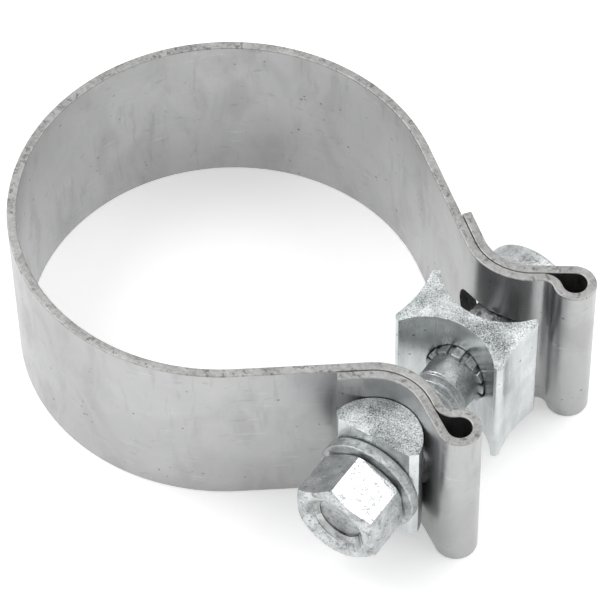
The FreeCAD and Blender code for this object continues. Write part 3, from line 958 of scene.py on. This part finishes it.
def make_bar():
    """Half-round bar that lies in the nut's seat, with a short upright side below the round."""
    lift = math.degrees(math.asin(BAR_BEVEL / BAR_RADIUS))
    outline = arc((BOLT_X, -SEAT_Y), BAR_RADIUS, lift, 180 - lift, 4)
    flat = BAR_RADIUS - BAR_BEVEL
    outline += [(BOLT_X - flat, -SEAT_Y), (BOLT_X + flat, -SEAT_Y)]
    piece = cut_stock("seat_bar_piece", outline, BAR_HEIGHT, HOLE, BAR_ROLL)
    stand_in(piece, "seat_bar", "seat_bar")


def make_washer():
    """Punched washer: one edge rolled over, the other sharp."""
    upper = (WASHER_RADIUS - WASHER_ROLL, WASHER_HIGH - WASHER_ROLL)
    lower = (WASHER_RADIUS - WASHER_EDGE, WASHER_LOW + WASHER_EDGE)
    rim = arc(upper, WASHER_ROLL, 90, 0, 15) + arc(lower, WASHER_EDGE, 0, -90, 30)
    profile = [(HOLE, WASHER_HIGH)] + [tuple(point) for point in rim] + [(HOLE, WASHER_LOW)]
    piece = lathe("washer_piece", profile, 128)
    paint(piece, DISC_ZINC)
    stand_in(shade(piece), "washer", "washer")


def make_nut():
    """Hexagon nut: corners turned down to a cone at both ends, countersunk and threaded."""
    corner = NUT_FLAT / math.cos(math.radians(30))
    hexagon = [polar((BOLT_X, 0), corner, 30 + 60 * step + NUT_TURN) for step in range(6)]
    piece = prism("nut_piece", hexagon, NUT_LOW, NUT_HIGH, axis="y")
    wide = corner + TOOL_MARGIN
    drop = (wide - NUT_LAND) * math.tan(math.radians(NUT_CONE))
    cone = lathe("nut_cone", [(0, NUT_LOW), (NUT_LAND, NUT_LOW), (wide, NUT_LOW + drop),
                              (wide, NUT_HIGH - drop), (NUT_LAND, NUT_HIGH), (0, NUT_HIGH)], 144)
    combine(piece, cone, "INTERSECT")
    hole = threaded("nut_hole", NUT_BORE, NUT_LOW - TOOL_MARGIN, NUT_HIGH + TOOL_MARGIN)
    paint(hole, THREAD_ZINC)
    paint(piece, HEX_ZINC)
    combine(piece, hole, "DIFFERENCE")
    lip = 0.2 * MM
    for face, inward in ((NUT_LOW, 1), (NUT_HIGH, -1)):
        mouth = face - inward * lip
        floor = face + inward * (NUT_SINK + THREAD_DEPTH)
        funnel = lathe("funnel", [(0, mouth), (NUT_BORE + NUT_SINK + lip, mouth),
                                  (NUT_BORE - THREAD_DEPTH, floor), (0, floor)])
        paint(funnel, HEX_ZINC)
        combine(piece, funnel, "DIFFERENCE")
    soften(piece, NUT_ROLL, 42)
    piece.data.materials.append(END_ZINC)
    paint_faces(piece, END_ZINC, lambda centre, normal:
                abs(normal.y) > 0.3 and centre.y < NUT_LOW + NUT_FACE_DEPTH
                and math.hypot(centre.x - BOLT_X, centre.z) > NUT_BORE)
    stand_in(shade(piece), "nut", "nut")


# ---- studio ------------------------------------------------------------------------------

FLOOR_Z = CAD_BOX[0][2]
AIM = Vector((14.892, 0.107, 0)) * MM
CAMERA_AZIMUTH = 34.952
CAMERA_ELEVATION = 51.611
CAMERA_ROLL = -1.1667
CAMERA_DISTANCE = 615.655 * MM
LENS = 217.815
FLOOR_REACH = 1.5
FLOOR_GLOW = 0.29
FILL = 0.52


def outward(azimuth, elevation):
    """Direction from the object towards a viewer at an azimuth and elevation in degrees."""
    side, rise = math.radians(azimuth), math.radians(elevation)
    level = math.cos(rise)
    return Vector((math.sin(side) * level, -math.cos(side) * level, math.sin(rise)))


def facing(azimuth, elevation, distance):
    """The place of a camera or lamp that looks at the object from out there."""
    away = outward(azimuth, elevation)
    turn = away.to_track_quat("Z", "Y").to_matrix().to_4x4()
    return Matrix.Translation(AIM + away * distance) @ turn


def add_camera():
    """A long lens on the clamp from the bolt's side and above, turned a little."""
    camera = bpy.data.objects.new("camera", bpy.data.cameras.new("camera"))
    camera.data.lens = LENS
    camera.data.sensor_width = 36
    camera.data.clip_start = 0.05
    camera.data.clip_end = 20
    roll = Matrix.Rotation(math.radians(CAMERA_ROLL), 4, "Z")
    camera.matrix_world = facing(CAMERA_AZIMUTH, CAMERA_ELEVATION, CAMERA_DISTANCE) @ roll
    bpy.context.scene.collection.objects.link(camera)
    bpy.context.scene.camera = camera


def add_softbox(name, azimuth, elevation, distance, width, height, power):
    """A rectangular lamp that faces the object."""
    lamp = bpy.data.lights.new(name, "AREA")
    lamp.shape = "RECTANGLE"
    lamp.size = width
    lamp.size_y = height
    lamp.energy = power
    holder = bpy.data.objects.new(name, lamp)
    holder.matrix_world = facing(azimuth, elevation, distance)
    bpy.context.scene.collection.objects.link(holder)


def add_floor():
    """A white table top that keeps the soft shadow and shows white in reflections."""
    reach = FLOOR_REACH
    corners = [(-reach, -reach, FLOOR_Z), (reach, -reach, FLOOR_Z),
               (reach, reach, FLOOR_Z), (-reach, reach, FLOOR_Z)]
    floor = mesh_object("floor", corners, [(0, 1, 2, 3)])
    white = Finish("white_table")
    camera, glossy, through = white.light_path()
    lift = (camera + glossy + through).clip()
    white.put(Base_Color=(0.88, 0.88, 0.88), Roughness=0.9,
              Specular_IOR_Level=0.0, Emission_Color=white.blend(lift, (0, 0, 0), (1, 1, 1)),
              Emission_Strength=FLOOR_GLOW)
    paint(floor, white.material)


def add_world():
    """White surroundings for the camera and for reflections, and a plain level of fill."""
    world = bpy.data.worlds.new("studio")
    world.use_nodes = True
    bpy.context.scene.world = world
    nodes, links = world.node_tree.nodes, world.node_tree.links
    sky = nodes["Background"]
    path = nodes.new("ShaderNodeLightPath")
    share = None
    for ray in SHOWN_RAYS:
        both = nodes.new("ShaderNodeMath")
        both.operation = "MAXIMUM"
        links.new(path.outputs[ray], both.inputs[0])
        if share:
            links.new(share, both.inputs[1])
        share = both.outputs[0]
    level = nodes.new("ShaderNodeMix")
    level.inputs[2].default_value = FILL
    level.inputs[3].default_value = 1.0
    links.new(share, level.inputs[0])
    links.new(level.outputs[0], sky.inputs["Strength"])
    sky.inputs["Color"].default_value = (1, 1, 1, 1)


def light_studio():
    """A large lamp at the left, with smaller ones at the right and behind."""
    add_softbox("left", -75, 50, distance=0.9, width=0.6, height=0.6, power=3.8)
    add_softbox("right", 105, 35, distance=1.0, width=0.6, height=0.4, power=1.3)
    add_softbox("back", 146, 52, distance=0.8, width=0.42, height=0.42, power=1.35)


# ---- making ------------------------------------------------------------------------------

bpy.context.scene.view_settings.view_transform = "Standard"
add_camera()
strip = strip_tree()
make_band_half(strip, "band_head_half", 1, HEAD_TAIL, ("band_back", "band_head_arm"))
make_band_half(strip, "band_nut_half", -1, NUT_TAIL, ("band_nut_arm",))
make_bolt()
make_block()
make_bar()
make_washer()
make_nut()
add_floor()
add_world()
light_studio()
